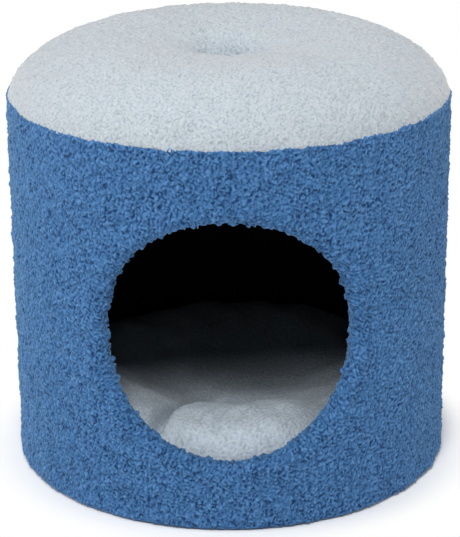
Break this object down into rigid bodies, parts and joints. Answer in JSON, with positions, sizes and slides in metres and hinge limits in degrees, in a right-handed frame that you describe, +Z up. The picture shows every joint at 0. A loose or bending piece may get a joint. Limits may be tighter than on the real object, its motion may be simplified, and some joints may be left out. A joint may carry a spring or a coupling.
{
  "type": "cat house",
  "caption": "Round plush-covered cat house with a circular side entrance, a tufted padded crown and a loose nest cushion inside.",
  "frame": {"origin": "middle of the underside, in the plane that it rests on", "axes": "+Z up, -Y out of the entrance, +X to the right as seen looking in at the entrance along +Y"},
  "size_m": [0.4, 0.4, 0.3923],
  "materials": {
    "blue_plush": "matte",
    "pale_plush": "matte",
    "nest_plush": "matte",
    "charcoal_cloth": "matte",
    "dust_cloth": "matte",
    "hardboard": "matte",
    "plywood": "matte",
    "foam": "matte",
    "fibre": "matte",
    "card": "matte",
    "steel": "satin",
    "twine": "matte"
  },
  "bodies": {
    "house": {"wall_cover": "blue_plush", "top_cover": "pale_plush", "tuft_button": "pale_plush", "top_foam": "foam", "wall_foam": "foam", "tuft_twine": "twine", "tuft_washer": "steel", "wall_panel": "hardboard", "joint_strip": "hardboard", "base_board": "plywood", "top_board": "plywood", "tack_strip": "card", "wall_lining": "charcoal_cloth", "floor_lining": "charcoal_cloth", "ceiling_lining": "charcoal_cloth", "underside_cloth": "dust_cloth", "base_staple_1": "steel", "base_staple_2": "steel", "base_staple_3": "steel", "base_staple_4": "steel", "base_staple_5": "steel", "base_staple_6": "steel", "base_staple_7": "steel", "base_staple_8": "steel", "top_staple_1": "steel", "top_staple_2": "steel", "top_staple_3": "steel", "top_staple_4": "steel", "top_staple_5": "steel", "top_staple_6": "steel", "top_staple_7": "steel", "top_staple_8": "steel", "tack_staple_1": "steel", "tack_staple_2": "steel", "tack_staple_3": "steel", "tack_staple_4": "steel", "tack_staple_5": "steel", "tack_staple_6": "steel", "tack_staple_7": "steel", "tack_staple_8": "steel", "underside_staple_1": "steel", "underside_staple_2": "steel", "underside_staple_3": "steel", "underside_staple_4": "steel", "underside_staple_5": "steel", "underside_staple_6": "steel", "underside_staple_7": "steel", "underside_staple_8": "steel", "joint_staple_1": "steel", "joint_staple_2": "steel", "joint_staple_3": "steel", "joint_staple_4": "steel", "joint_staple_5": "steel", "joint_staple_6": "steel"},
    "cushion": {"cushion_top_cover": "nest_plush", "cushion_base_cover": "charcoal_cloth", "cushion_filling": "fibre"}
  },
  "joints": [
    {"name": "cushion_lift", "type": "slide", "parent": "house", "child": "cushion", "axis": [0, 0, 1], "range_m": [0, 0.13]}
  ]
}
